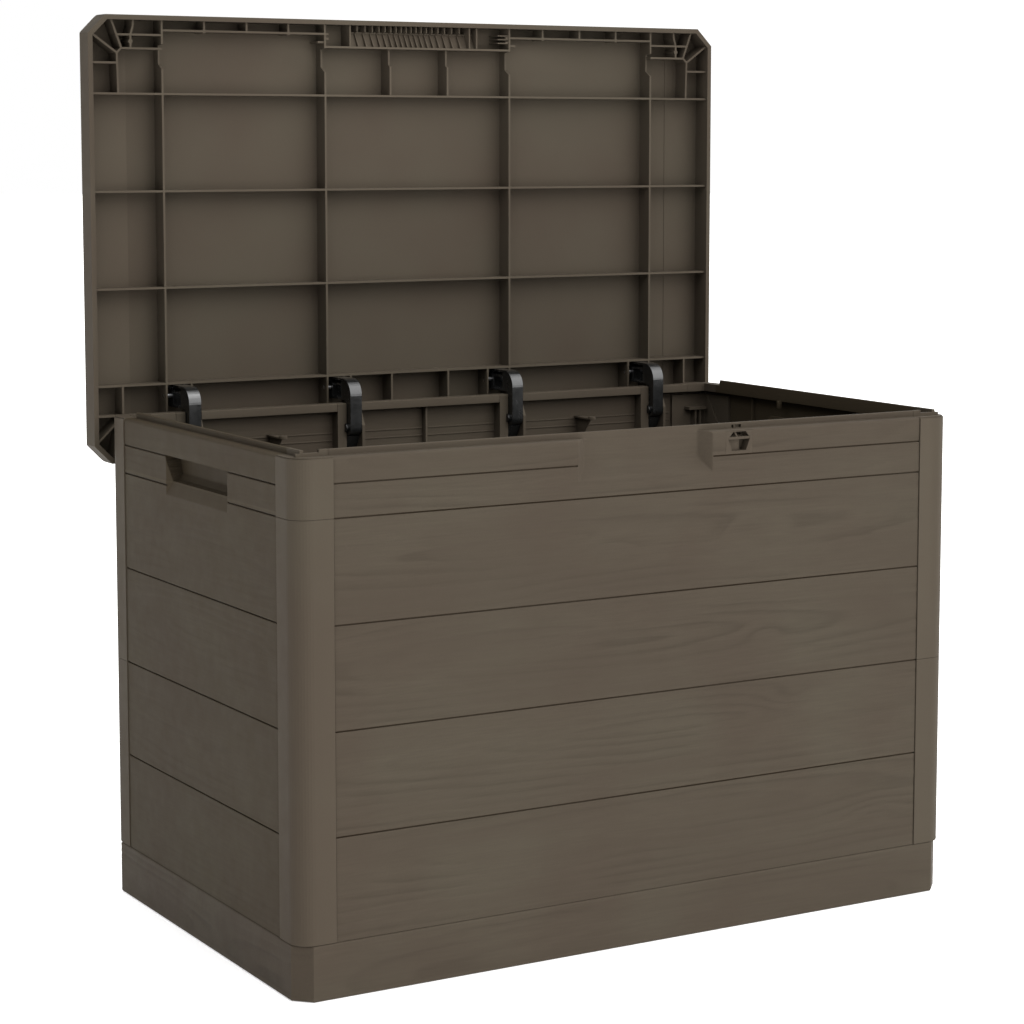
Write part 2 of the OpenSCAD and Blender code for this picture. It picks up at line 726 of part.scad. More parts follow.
// Sunk planked field of the lid's top, with the grooves between its planks
field_edge = 14;

module lid_field_cut() {
    span([-lid_field, lid_front + field_edge, lid_top - field_recess],
         [lid_field, lid_back - field_edge, lid_top + 1]);
    for (y = cross_ribs)
        span([-lid_field, y - groove_w / 2, lid_top - field_recess - groove_w],
             [lid_field, y + groove_w / 2, lid_top + 1]);
}

module lid_shell() color(taupe) open_lid() {
    edge = 4;
    difference() {
        intersection() {
            translate([0, 0, lid_z]) linear_extrude(lid_h) lid_plan(0);
            // rounded long edges
            in_side_plane(-lid_w / 2 - 1, lid_w / 2 + 1)
                polygon(concat([[lid_back, lid_z - 1]], arc(lid_back - edge, lid_top - edge, edge, 0, 90, 6),
                               arc(lid_front + edge, lid_top - edge, edge, 90, 180, 6), [[lid_front, lid_z - 1]]));
            translate([0, lid_back + 1, 0]) rotate([90, 0, 0]) linear_extrude(lid_d + 2)
                polygon(concat([[lid_w / 2, lid_z - 1]], arc(lid_w / 2 - edge, lid_top - edge, edge, 0, 90, 6),
                               arc(-lid_w / 2 + edge, lid_top - edge, edge, 90, 180, 6), [[-lid_w / 2, lid_z - 1]]));
        }
        difference() {
            translate([0, 0, lid_z - 1]) linear_extrude(lid_in - lid_z + 1) lid_plan(skirt_t);
            lid_ribs();
        }
        lid_field_cut();
        // bores of the rivets through the pocket ribs
        for (x = arm_x)
            translate([x - 18, pivot_y - rivet_at[1] + pivot_z, pivot_z + rivet_at[0] - pivot_y])
                rotate([0, 90, 0]) cylinder(d = rivet_d + 2 * bore_play, h = 36);
    }
}

// Comb of thin slanting teeth above the finger recess, a moulding of its own
comb_mid = -11.5;
comb_half = 80.5;
comb_count = 20;

function tooth_x(i) = let (k = i - (comb_count - 1) / 2) comb_mid + k * (6.6 + 0.021 * k * k);

module comb_tooth(x) {
    y0 = lid_front + skirt_t + 0.2;
    y1 = box_y - rib_t / 2 - 0.2;
    in_side_plane(x - 0.8, x + 0.8)
        polygon([[y0, rib_z + 4.5], [y0 + 7, rib_z + 4.5], [y0 + 8.5, rib_z + 11],
                 [y1, rib_z + 0.2], [y1, rib_z + 18], [y0, rib_z + 18]]);
}

module lid_comb() color(taupe) open_lid() {
    y0 = lid_front + skirt_t + 0.2;
    y1 = box_y - rib_t / 2 - 0.2;
    floor_high = lid_in - 0.2;
    for (i = [0 : comb_count - 1]) comb_tooth(tooth_x(i));
    for (x = [comb_mid - comb_half, comb_mid + comb_half, comb_mid + comb_half + 10])
        span([x - 0.9, y0, rib_z], [x + 0.9, y1, floor_high]);
    // sloping backs below the teeth
    in_side_plane(comb_mid - comb_half, comb_mid + comb_half + 10)
        polygon([[y0 + 8, rib_z + 13], [y1, rib_z + 5], [y1, rib_z + 8], [y0 + 8, rib_z + 17]]);
    span([comb_mid - comb_half, y0, floor_high - 2], [comb_mid + comb_half + 10, y1, floor_high]);
    span([comb_mid - comb_half, y0 + 7.4, rib_z + 11], [comb_mid + comb_half + 10, y0 + 9, floor_high]);
}

// ---------- nodes ----------

base_tray();
front_panel();
rear_panel();
left_panel();
right_panel();
front_left_post_lower();
front_left_post_upper();
front_right_post_lower();
front_right_post_upper();
rear_left_post_lower();
rear_left_post_upper();
rear_right_post_lower();
rear_right_post_upper();
padlock_eye();
hinge_housing(arm_x[0]);  // hinge_housing_1
hinge_housing(arm_x[1]);  // hinge_housing_2
hinge_housing(arm_x[2]);  // hinge_housing_3
hinge_housing(arm_x[3]);  // hinge_housing_4
hinge_stop(arm_x[0]);  // hinge_stop_1
hinge_stop(arm_x[1]);  // hinge_stop_2
hinge_stop(arm_x[2]);  // hinge_stop_3
hinge_stop(arm_x[3]);  // hinge_stop_4
hinge_pin(arm_x[0]);  // hinge_pin_1
hinge_pin(arm_x[1]);  // hinge_pin_2
hinge_pin(arm_x[2]);  // hinge_pin_3
hinge_pin(arm_x[3]);  // hinge_pin_4
hinge_arm(arm_x[0]);  // hinge_arm_1
hinge_arm(arm_x[1]);  // hinge_arm_2
hinge_arm(arm_x[2]);  // hinge_arm_3
hinge_arm(arm_x[3]);  // hinge_arm_4
arm_rivet(arm_x[0]);  // arm_rivet_1
arm_rivet(arm_x[1]);  // arm_rivet_2
arm_rivet(arm_x[2]);  // arm_rivet_3
arm_rivet(arm_x[3]);  // arm_rivet_4
lid_shell();
lid_comb();
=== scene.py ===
import math

import bmesh
import bpy
import numpy as np
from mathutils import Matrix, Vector


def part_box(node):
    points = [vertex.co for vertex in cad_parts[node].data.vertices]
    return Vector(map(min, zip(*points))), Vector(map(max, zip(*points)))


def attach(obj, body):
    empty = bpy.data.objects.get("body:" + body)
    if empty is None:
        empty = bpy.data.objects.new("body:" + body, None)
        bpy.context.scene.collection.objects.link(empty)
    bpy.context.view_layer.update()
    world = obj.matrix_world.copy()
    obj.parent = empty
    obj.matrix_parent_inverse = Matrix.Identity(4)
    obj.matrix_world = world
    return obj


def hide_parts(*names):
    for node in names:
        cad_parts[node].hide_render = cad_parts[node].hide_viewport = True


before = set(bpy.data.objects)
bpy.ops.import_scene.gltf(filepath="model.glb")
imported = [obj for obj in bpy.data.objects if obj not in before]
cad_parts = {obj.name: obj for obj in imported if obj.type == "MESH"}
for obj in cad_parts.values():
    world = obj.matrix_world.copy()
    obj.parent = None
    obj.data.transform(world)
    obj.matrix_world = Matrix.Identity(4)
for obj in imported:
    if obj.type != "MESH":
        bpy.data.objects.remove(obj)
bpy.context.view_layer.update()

MM = 0.001

# ---------------------------------------------------------------- places, in millimetres


def corners(node):
    """The low and the high corner of a CAD node's box."""
    low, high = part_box(node)
    return [v / MM for v in low], [v / MM for v in high]


GAP = 0.3                    # clearance between two mouldings
WALL = 3.2                   # wall thickness
RECESS = 1.0                 # how far a planked field stands back
INNER = RECESS + WALL        # depth of a field's inner face
GROOVE_W = 1.6
GROOVE_D = 1.7
LIP_END = 190.0              # where the lip of a side wall ends towards the rear
half_w, half_d = corners("base_tray")[1][:2]
post_low, post_high = corners("front_left_post_lower")
plinth_h = post_low[2] - GAP
seam_high = post_high[2]
plank_h = (seam_high - plinth_h) / 4
front_high = corners("front_panel")[1]
side_high = corners("left_panel")[1]
rim_z = corners("rear_panel")[1][2]
lip_z = front_high[2]
field_x, field_y = front_high[0], side_high[1]
eye_low, eye_high = corners("padlock_eye")
eye_x = (eye_low[0] + eye_high[0]) / 2
hinge_x = [sum(c[0] for c in corners(f"hinge_arm_{i}")) / 2 for i in (1, 2, 3, 4)]

RIM = 16.4                   # depth of the rim of the front and the sides
REAR_RIM = 18.4
RIM_FACE = 9.5               # height of the rim's inner face
LIP_W = 4.0
EDGE_R = 3.5                 # rounding of a wall's outer upper edge
SLOT = (-19.5, 11.5)         # gap of the rear rim around a hinge, from the hinge's middle
RIB_T = 2.5                  # thickness of the ribs under the floor
INNER_RIB = 5.0              # how far the upright ribs inside a wall stand out
RIB_FOOT = plinth_h + 12.4   # where those ribs begin

ROW_STEP = 1.45              # spacing of the rows that carry the relief
WALL_STEP = 4.5              # spacing of the columns along a wall
SMALL_STEP = 4.2             # the same on the plinth and the lid
GROOVE_ROWS = (0.76, 0.84, 1.15, 1.6)   # extra rows beside the middle of a groove
END_ROUND = 0.8              # width of the rounding at the ends of a planked field
GRAIN_D = 0.38               # depth of the wood grain

# ---------------------------------------------------------------- noise and wood relief


def smooth(t):
    t = np.clip(t, 0, 1)
    return t * t * (3 - 2 * t)


def noise(x, y, seed):
    """Smooth value noise from 0 to 1 on a unit lattice."""
    x, y = np.broadcast_arrays(np.asarray(x, float), np.asarray(y, float))
    ix, iy = np.floor(x), np.floor(y)
    fx, fy = smooth(x - ix), smooth(y - iy)

    def cell(a, b):
        n = (a.astype(np.int64) * 374761393 + b.astype(np.int64) * 668265263 + seed * 2147483647) & 0xFFFFFFFF
        n = ((n ^ (n >> 13)) * 1274126177) & 0xFFFFFFFF
        n = ((n ^ (n >> 16)) * 2246822519) & 0xFFFFFFFF
        return ((n ^ (n >> 15)) & 0xFFFF) / 65535.0

    top = cell(ix, iy) * (1 - fx) + cell(ix + 1, iy) * fx
    low = cell(ix, iy + 1) * (1 - fx) + cell(ix + 1, iy + 1) * fx
    return top * (1 - fy) + low * fy


def plank_grain(s, t, seed):
    """Moulded wood grain of one plank, from 0 at its ridges to 1 in its lines. s runs along it."""
    rng = np.random.default_rng(seed)
    drift = 15 * noise(s / 260, t / 70, seed) + 5 * noise(s / 95, t / 24, seed + 1)
    drift = drift + 1.2 * noise(s / 24, t / 8, seed + 2)
    centre, along = rng.uniform(20, 80), rng.uniform(-260, 260)
    arch = rng.uniform(0.05, 0.09)
    rings = np.sqrt((t - centre) ** 2 + (arch * (s - along)) ** 2 + 4) + drift
    for _ in range(2):
        ks, kt, size = rng.uniform(-330, 330), rng.uniform(15, 90), rng.uniform(5, 8)
        far = np.sqrt(((s - ks) / 3.2) ** 2 + (t - kt) ** 2)
        rings = rings + size * 1.6 * np.exp(-((far / size) ** 2) / 3)
    wave = rings / 9.5 + 0.35 * noise(s / 300, t / 14, seed + 3)
    phase = wave - np.floor(wave)
    line = smooth(phase / 0.82) * (1 - smooth((phase - 0.82) / 0.18))
    fine = rings / 3.1 + 0.5 * noise(s / 160, t / 5, seed + 4)
    fine = 0.5 + 0.5 * np.sin(2 * np.pi * fine)
    shown = smooth((noise(s / 140, t / 20, seed + 5) - 0.30) / 0.45)
    return line * (0.25 + 0.75 * shown) * 0.8 + 0.2 * fine * (0.3 + 0.7 * noise(s / 90, t / 9, seed + 6))


def wall_grain(s, z, seed, base, step):
    """Grain of a stack of planks, each with its own pattern."""
    made = np.zeros(np.broadcast(s, z).shape)
    s, z = np.broadcast_arrays(s, z)
    row = np.clip(np.floor((z - base) / step), 0, 4).astype(int)
    for i in range(5):
        here = row == i
        if here.any():
            made[here] = plank_grain(s[here], z[here] - base - i * step, seed * 31 + i * 7)
    return made


def groove(z, at):
    """Depth of a groove with rounded lips, from 0 to 1."""
    off = np.abs(z - at) - GROOVE_W / 2
    return np.where(off < 0, 1.0, 0.16 * np.clip(1 - off / 0.9, 0, 1) ** 2)


# ---------------------------------------------------------------- mesh helpers


SMOOTH_BELOW = 32            # edges flatter than this many degrees are shaded smooth


def new_object(name, verts, faces, values):
    """A mesh from millimetres, with one value for each vertex: its grain relief, with the marks for painted
    shade at the bottoms of grooves.
    """
    mesh = bpy.data.meshes.new(name)
    mesh.from_pydata((np.asarray(verts, float) * MM).tolist(), [], faces)
    # this attribute holds the grain relief and, on the walls, the marks for painted shade in the grooves
    layer = mesh.attributes.new("grain", "FLOAT", "POINT")
    layer.data.foreach_set("value", np.asarray(values, np.float32))
    mesh.validate()
    mesh.polygons.foreach_set("use_smooth", [True] * len(mesh.polygons))
    mesh.set_sharp_from_angle(angle=math.radians(SMOOTH_BELOW))
    obj = bpy.data.objects.new(name, mesh)
    bpy.context.scene.collection.objects.link(obj)
    return obj


class Parts:
    """Collects vertices and faces of one piece, in millimetres."""

    def __init__(self):
        self.verts, self.faces, self.values = [], [], []

    def add(self, verts, faces, values=None):
        start = sum(len(v) for v in self.verts)
        verts = np.asarray(verts, float)
        self.verts.append(verts)
        self.values.append(np.zeros(len(verts)) if values is None else values)
        self.faces += [tuple(i + start for i in f) for f in faces]

    def box(self, low, high, cut=0.35):
        """A box with all its edges cut."""
        lo, hi = np.array(low, float), np.array(high, float)
        cut = min(cut, float((hi - lo).min()) * 0.3)
        bm = bmesh.new()
        bmesh.ops.create_cube(bm, size=1)
        for v in bm.verts:
            v.co = Vector((lo + hi) / 2 + np.array(v.co) * (hi - lo))
        bmesh.ops.bevel(bm, geom=bm.edges[:], offset=cut, segments=2, profile=0.5, affect="EDGES")
        bm.verts.index_update()
        self.add([v.co[:] for v in bm.verts], [[v.index for v in f.verts] for f in bm.faces])
        bm.free()

    def prism(self, outline, low, high, axis, cut=0.35):
        """An outline of two coordinates, stretched along the x or z axis, with its edges cut."""
        bm = bmesh.new()
        ring = []
        for a, b in outline:
            ring.append(bm.verts.new((low, a, b) if axis == "x" else (a, b, low)))
        face = bm.faces.new(ring)
        move = (high - low, 0, 0) if axis == "x" else (0, 0, high - low)
        made = bmesh.ops.extrude_face_region(bm, geom=[face])
        far_end = [v for v in made["geom"] if isinstance(v, bmesh.types.BMVert)]
        bmesh.ops.translate(bm, vec=move, verts=far_end)
        bmesh.ops.recalc_face_normals(bm, faces=bm.faces[:])
        bmesh.ops.bevel(bm, geom=bm.edges[:], offset=cut, segments=2, profile=0.5, affect="EDGES",
                        clamp_overlap=True)
        bm.verts.index_update()
        self.add([v.co[:] for v in bm.verts], [[v.index for v in f.verts] for f in bm.faces])
        bm.free()

    def make(self, name):
        return new_object(name, np.concatenate(self.verts), self.faces, np.concatenate(self.values))


def rounded(points, radius, steps=3):
    """A closed outline with its corners rounded. Each point is (a, b) or (a, b, its own radius)."""
    out = []
    n = len(points)
    for i, p in enumerate(points):
        r = p[2] if len(p) > 2 else radius
        here = np.array(p[:2], float)
        before, after = np.array(points[i - 1][:2], float), np.array(points[(i + 1) % n][:2], float)
        a, b = before - here, after - here
        la, lb = np.linalg.norm(a), np.linalg.norm(b)
        a, b = a / la, b / lb
        half = math.acos(np.clip(a @ b, -1, 1)) / 2
        cut = min(r / math.tan(half), la * 0.45, lb * 0.45)
        if r <= 0 or half > 1.55:
            out.append(tuple(here))
            continue
        rr = cut * math.tan(half)
        mid = here + (a + b) / np.linalg.norm(a + b) * (rr / math.sin(half))
        start, end = here + a * cut - mid, here + b * cut - mid
        for k in range(steps + 1):
            q = start * (1 - k / steps) + end * (k / steps)
            q = q / np.linalg.norm(q) * rr
            out.append(tuple(mid + q))
    return out


def lines(low, high, step, extra=()):
    """Sorted places from low to high, with the extra ones let in."""
    base = np.linspace(low, high, max(2, int(round((high - low) / step)) + 1))
    extra = np.array([e for e in extra if low + 0.02 < e < high - 0.02])
    if len(extra):
        near = np.abs(base[:, None] - extra[None, :]).min(axis=1)
        keep = (near > step * 0.3) | (base == low) | (base == high)
        base = np.unique(np.concatenate([base[keep], extra]))
    return base


def round_end(distance, drop):
    """How far a field's surface drops near its end, at a distance from the end."""
    rest = 1 - np.clip(distance / END_ROUND, 0, 1)
    return drop * (1 - np.sqrt(np.clip(1 - rest ** 2, 0, 1)))


def circle(radius, count, centre=(0.0, 0.0)):
    """The points of a circle, counter-clockwise."""
    return [(centre[0] + radius * math.cos(a), centre[1] + radius * math.sin(a))
            for a in np.linspace(0, 2 * math.pi, count + 1)[:-1]]


# ---------------------------------------------------------------- planked walls

# kinds of a section's points: plain, the outer face, the inside, the ledge and the rounded edge
PLAIN, OUTER, INSIDE, LEDGE, ARC = range(5)
WINDOW = (0.6, 4.15)         # foot and top of the lip's windows, above the ledge
WINDOW_D = 2.8


def wall(place, half_len, seed, bands, recess=None, rim=RIM, lip=True, hole=None, slots=(), gaps=(),
         flip=False, lip_end=None, strength=1.0):
    """A planked wall: one closed section swept along it. Its outer face carries the planks, the
    grain and the recess. place turns (along, depth, height) into a point. bands is the height of
    the uppermost groove and the stretch that it leaves out, hole an opening through the wall,
    slots are windows in the lip, and gaps are stretches without a rim."""
    band_z, band_gap = bands
    grooves = [plinth_h + i * plank_h for i in (1, 2, 3, 4)]
    z0, z1 = plinth_h + GAP, rim_z - EDGE_R
    extra_z = []
    for g in (*grooves, band_z):
        for off in GROOVE_ROWS:
            extra_z += [g - off, g + off]
    ends = (0.1, 0.35, END_ROUND)
    extra_s = [-half_len + e for e in ends] + [half_len - e for e in ends]
    if recess:
        extra_z += list(recess.rows)
        extra_s += list(recess.columns)
    if band_gap:
        for e in band_gap:
            extra_s += [e - 0.4, e, e + 0.4]
    if hole:
        extra_z += [hole[2], hole[3]]
        extra_s += [hole[0], hole[1]]
    for a, b in slots:
        extra_s += [a, a + 0.15, b - 0.15, b]
    for a, b in gaps:
        extra_s += [a - 0.1, a, b, b + 0.1]
    if lip_end:
        extra_s += [-lip_end - 0.2, -lip_end]
    outer = lines(z0 + 0.5, z1, ROW_STEP, extra_z)
    columns = lines(-half_len, half_len, WALL_STEP, extra_s)

    # the section: outer face upwards, over the rim, and down the inside
    section = [(RECESS + 0.4, z0, PLAIN), (RECESS + 0.1, z0 + 0.15, PLAIN)]
    section += [(RECESS, z, OUTER) for z in outer]
    for k in range(1, 7):
        a = math.radians(180 - 15 * k)
        section.append((RECESS + EDGE_R + EDGE_R * math.cos(a), rim_z - EDGE_R + EDGE_R * math.sin(a), ARC))
    rim_foot = rim_z - RIM_FACE
    down_inside = [(rim, rim_foot, 0.4), (rim - WALL, rim_foot, 0.4), (rim - WALL, rim_z - WALL, 0.8),
                   (INNER, rim_z - WALL, 0.8), (INNER, z0, 0.2), (RECESS, z0, 0.0), (RECESS, rim_z, 0.0)]
    if lip:
        step = rim - LIP_W
        section += [(5.0, rim_z, LEDGE), (8.5, rim_z, LEDGE)]
        over_lip = [(step, rim_z, 0.5), (step, lip_z, 1.0), (rim, lip_z, 1.0)]
        top = rounded(over_lip + down_inside, 0.5)[:-2]
        top[4:4] = [(step, rim_z + e) for e in (WINDOW[0] - 0.05, WINDOW[0], WINDOW[1], WINDOW[1] + 0.05)]
    else:
        top = rounded([(rim, rim_z, 1.0)] + down_inside, 0.5)[:-2]
    inside = [p for p in top if not (abs(p[0] - INNER) < 0.3 and p[1] < rim_z - WALL - 1.5)]
    for p in inside:
        foot_of_lip = lip and p[0] < rim - LIP_W + 0.01 and rim_z - 0.01 < p[1] < rim_z + 0.52
        section.append((*p, LEDGE if foot_of_lip else INSIDE if p[1] < rim_z - 0.01 else PLAIN))
    inner_rows = [*(recess.inner_rows if recess else ()), *(hole[2:3] if hole else ())]
    down = lines(z0 + 0.4, rim_z - WALL - 1.2, 26, inner_rows)
    section += [(INNER, z, INSIDE) for z in down[::-1]]
    section.append((INNER - 0.3, z0, PLAIN))

    d = np.array([p[0] for p in section])
    z = np.array([p[1] for p in section])
    kind = np.array([p[2] for p in section])
    S, Z = np.meshgrid(columns, z, indexing="ij")
    D = np.broadcast_to(d, S.shape).copy()
    grain = np.zeros(S.shape)

    face = kind == OUTER
    s1, h1 = S[:, face], Z[:, face]
    g = strength * wall_grain(s1, h1, seed, plinth_h, plank_h)
    depth = np.zeros(s1.shape)
    for at in grooves:
        depth = np.maximum(depth, groove(h1, at))
    band = groove(h1, band_z)
    if band_gap:
        band = band * np.where((s1 > band_gap[0]) & (s1 < band_gap[1]), 0, 1)
    depth = np.maximum(depth, band)
    cut = GROOVE_D * depth
    fade = np.clip(1 - depth * 3, 0, 1)
    # painted shade: the bottoms of the grooves are marked, and the material darkens them as if they lay in
    # shadow
    groove_shade = 1.0 * (depth > 0.9)
    if recess:
        hollow = np.clip(recess.depth(s1, h1) - RECESS, 0, None)
        groove_shade *= hollow < 1.0
        cut = np.where(hollow > 0.02, np.maximum(hollow, cut * np.clip(1 - hollow, 0, 1)), cut)
        fade = fade * np.clip(1 - hollow / 1.5, 0, 1)
    D[:, face] += cut + round_end(half_len - np.abs(s1), 0.6) + GRAIN_D * g * fade
    # the stored value is the grain relief, plus 2 where the bottom of a groove gets painted shade
    grain[:, face] = g * fade + 2.0 * groove_shade
    if recess:
        back = kind == INSIDE
        D[:, back] = np.maximum(D[:, back], recess.depth(S[:, back], Z[:, back]) + WALL - 0.4)
        if recess.open_top:
            over = (kind == LEDGE) | (kind == ARC)
            away = recess.depth(S[:, over], 0 * Z[:, over] + rim_z)
            upright = np.linspace(rim_z - EDGE_R, rim_z + 0.5, over.sum() + 1)[1:]
            Z[:, over] = np.where(away > recess.deep - 0.01, upright, Z[:, over])
            D[:, over] = np.maximum(D[:, over], away)
    over_ledge = z - rim_z
    lip_face = (over_ledge > WINDOW[0] - 0.02) & (over_ledge < WINDOW[1] + 0.02)
    lip_face &= np.abs(d - rim + LIP_W) < 0.01
    for a, b in slots:
        D = np.where(lip_face[None, :] & (S > a + 0.1) & (S < b - 0.1), D + WINDOW_D, D)
    for a, b in gaps:
        in_gap = (S > a - 0.05) & (S < b + 0.05)
        D = np.where(in_gap & (D > INNER + 0.05), INNER, D)
    if lip_end:
        Z = np.where((S < -lip_end) & (Z > rim_z), rim_z, Z)

    n, m = S.shape
    pts = np.stack(place(S, D, Z), axis=-1).reshape(-1, 3)
    j, k = np.meshgrid(np.arange(n - 1), np.arange(m), indexing="ij")
    k2 = (k + 1) % m
    quads = np.stack([j * m + k, (j + 1) * m + k, (j + 1) * m + k2, j * m + k2], axis=-1)
    if hole:
        mid_s = (columns[j] + columns[j + 1]) / 2
        mid_z = (z[k] + z[k2]) / 2
        mid_d = (d[k] + d[k2]) / 2
        gone = (mid_s > hole[0]) & (mid_s < hole[1]) & (mid_z > hole[2]) & (mid_z < hole[3])
        quads = quads[~(gone & (mid_d < rim - WALL + 0.3))]
    quads = quads.reshape(-1, 4)
    caps = [tuple(range(m))[::-1], tuple((n - 1) * m + i for i in range(m))]
    if flip:
        quads = quads[:, ::-1]
        caps = [c[::-1] for c in caps]
    parts = Parts()
    parts.add(pts, [tuple(q) for q in quads.tolist()] + caps, grain.reshape(-1))
    return parts


class Handle:
    """The hand recess of a side: a deep slot with leaning ends, and a shallow scoop that leads into
    it."""

    open_top = False

    def __init__(self, top):
        self.top, self.half, self.deep, self.slant, self.scoop = top, 82.0, 18.0, 10.0, 6.0
        self.sill, self.foot, self.run, self.rise = top - 27.5, top - 46, 6.0, 7.5
        sill, h = self.sill, self.half
        self.rows = [top + 0.3, top + 0.1, top - 0.05, top - 0.4, sill - 0.6, sill - 0.2, sill + 0.05,
                     *np.arange(self.foot - 3, top - 1, 1.1)]
        self.inner_rows = [top + 3.6, top + 3, top, sill - 2, sill, *np.arange(self.foot - 6, top - 2, 3.0)]
        self.columns = [sign * (h - e) for e in np.arange(0, 13, 0.5) for sign in (-1, 1)]
        self.columns += [h + 0.5, -h - 0.5]

    def depth(self, s, z):
        end = self.half - np.abs(s)
        ramp = np.clip(end * self.scoop / self.slant, 0, self.scoop)
        lead = np.clip((z - self.foot) / (self.sill - self.foot), 0, 1) * self.scoop
        low = np.minimum(ramp, lead)
        leaning = self.slant * (self.top - z) / (self.top - self.sill)
        slot = (z > self.sill) & (end > leaning)
        rising = self.deep - self.run * (1 - np.clip((z - self.sill) / self.rise, 0, 1))
        low = np.where(slot, rising, low)
        return np.where((z < self.top) & (end > 0), low, 0)


class Grip:
    """The finger recess of the front: open to the rim's ledge, upright behind, fading out downwards."""

    open_top = True

    def __init__(self, middle, half):
        self.middle, self.half, self.deep, self.slant = middle, half, RIM - LIP_W, 14.0
        self.sill, self.foot = 522.0, 498.0
        self.rows = [*np.arange(self.foot - 3, rim_z - EDGE_R, 1.15)]
        self.inner_rows = [*np.arange(self.foot - 6, rim_z - 6, 4.0)]
        self.columns = [middle + sign * (half - e) for e in np.arange(-0.5, 16, 0.9) for sign in (-1, 1)]

    def depth(self, s, z):
        up = self.deep * smooth((z - self.foot) / (self.sill - self.foot))
        ends = (self.half - np.abs(s - self.middle)) * self.deep / self.slant
        soft = 1.2
        low = np.minimum(up, ends)
        blend = np.clip((soft - np.abs(up - ends)) / soft, 0, 1)
        return np.clip(low - blend ** 2 * soft * 0.25, 0, self.deep)


front_band = seam_high + 34.5        # heights of the uppermost grooves
side_band = seam_high + 31.5
grip = Grip(1.0, 85.0)
handle = Handle(side_band + GROOVE_W / 2)


# s runs along a wall, from the rear to the front on both sides. d goes inwards from the outer face.
def at_front(s, d, z):
    return s, -half_d + d, z


def at_rear(s, d, z):
    return -s, half_d - d, z


def at_left(s, d, z):
    return -half_w + d, -s, z


def at_right(s, d, z):
    return half_w - d, -s, z


def block(parts, a, b):
    """A box between two opposite corners, given in any order."""
    parts.box([min(p) for p in zip(a, b)], [max(p) for p in zip(a, b)], 0.4)


def wall_ribs(parts, place, places, high):
    """Upright ribs inside a wall, from its foot up to high."""
    for s in places:
        block(parts, place(s - 1, INNER - 0.4, RIB_FOOT), place(s + 1, INNER + INNER_RIB, high))


hole = (eye_low[0] - 0.1, eye_high[0] + 0.1, eye_low[2] - 0.1, eye_high[2])
front = wall(at_front, field_x, 3, (front_band, (grip.middle - grip.half, grip.middle + grip.half)), grip,
             hole=hole, slots=[(eye_x - 2.6, eye_x + 0.3), (eye_x + 1.7, eye_x + 10)])
wall_ribs(front, at_front, (-244, -122, 122, 244), rim_z - 43.5)

# a cup behind the hole: two cheeks, a back and a floor
CUP_T = 2.9
cup_left, cup_right, cup_low = hole[0] - CUP_T, hole[1] + CUP_T, hole[2] - 3
cup_front, cup_rear, cup_top = -half_d + INNER - 1, -half_d + RIM - 0.2, rim_z - 1
front.box([cup_left, cup_front, cup_low], [hole[0], cup_rear, cup_top])
front.box([hole[1], cup_front, cup_low], [cup_right, cup_rear, cup_top])
front.box([cup_left, -half_d + 14.7, cup_low], [cup_right, cup_rear, cup_top])
front.box([cup_left, cup_front, cup_low], [cup_right, cup_rear, hole[2]])
front_obj = front.make("front_wall")

rear = wall(at_rear, field_x, 11, (side_band, None), None, rim=REAR_RIM, lip=False,
            gaps=[(-x - SLOT[1] - GAP, -x - SLOT[0] + GAP) for x in hinge_x])
back = half_d - INNER        # the rear wall's inner face
BEADS = (501, 510)           # heights of the beads along it
BRACKETS = (-210, 210)
BRACKET_Z = 510.6
BRACKET_REACH = 34
BRACKET_R = 5.0


def between_hinges(low, high):
    """Stretches of the rear wall's inside that the hinges leave free."""
    edges = [low]
    for x in hinge_x:
        edges += [x + SLOT[0] - GAP, x + SLOT[1] + GAP]
    edges.append(high)
    return list(zip(edges[::2], edges[1::2]))


rooted = back + 0.4
for a, b in between_hinges(-field_x + 18, field_x - 18):
    for z in BEADS:
        rear.box([a, back - 1, z - 0.8], [b, rooted, z + 0.8], 0.4)
rear.box([-9.5, back - 9, RIB_FOOT], [-7, rooted, rim_z - 2], 0.5)
for x in BRACKETS:
    rear.box([x - BRACKET_R, back - BRACKET_REACH, BRACKET_Z], [x + BRACKET_R, rooted, 513], 0.5)
    rear.prism(circle(BRACKET_R, 24, (x, back - BRACKET_REACH)), BRACKET_Z, BRACKET_Z + 4, "z", 0.5)
    gusset = [(rooted, 512), (back - BRACKET_REACH + 2, 512), (back - 4, 479), (rooted, 479)]
    rear.prism(gusset, x - 1.2, x + 1.2, "x", 0.4)
rear_obj = rear.make("rear_wall")


def side_wall(name, place, seed, flip):
    """A side wall with its ribs and the two nubs under its rim."""
    parts = wall(place, field_y, seed, (side_band, (-handle.half, handle.half)), handle, flip=flip,
                 lip_end=LIP_END, strength=0.5)
    rim_foot = rim_z - RIM_FACE
    wall_ribs(parts, place, (-130, 130), rim_foot)
    for s in (-60, 120):
        block(parts, place(s - 2, RIM - 1, rim_foot - 8), place(s + 2, RIM + 4, rim_foot + 1))
    return parts.make(name)


left_obj = side_wall("left_wall", at_left, 8, False)
right_obj = side_wall("right_wall", at_right, 5, True)

# ---------------------------------------------------------------- base tray

FLOOR_Z = 14.0
TONGUE_TOP = 66.0            # top of the rib that stands inside the walls
CUT = 17.0                   # corner cut of the plinth
TONGUE_CUT = 20.0


def octagon(depth, cut):
    """The plinth's outline, set in by a depth, with its corners cut."""
    x, y = half_w - depth, half_d - depth
    return np.array([[-x + cut, -y], [x - cut, -y], [x, -y + cut], [x, y - cut],
                     [x - cut, y], [-x + cut, y], [-x, y - cut], [-x, -y + cut]])


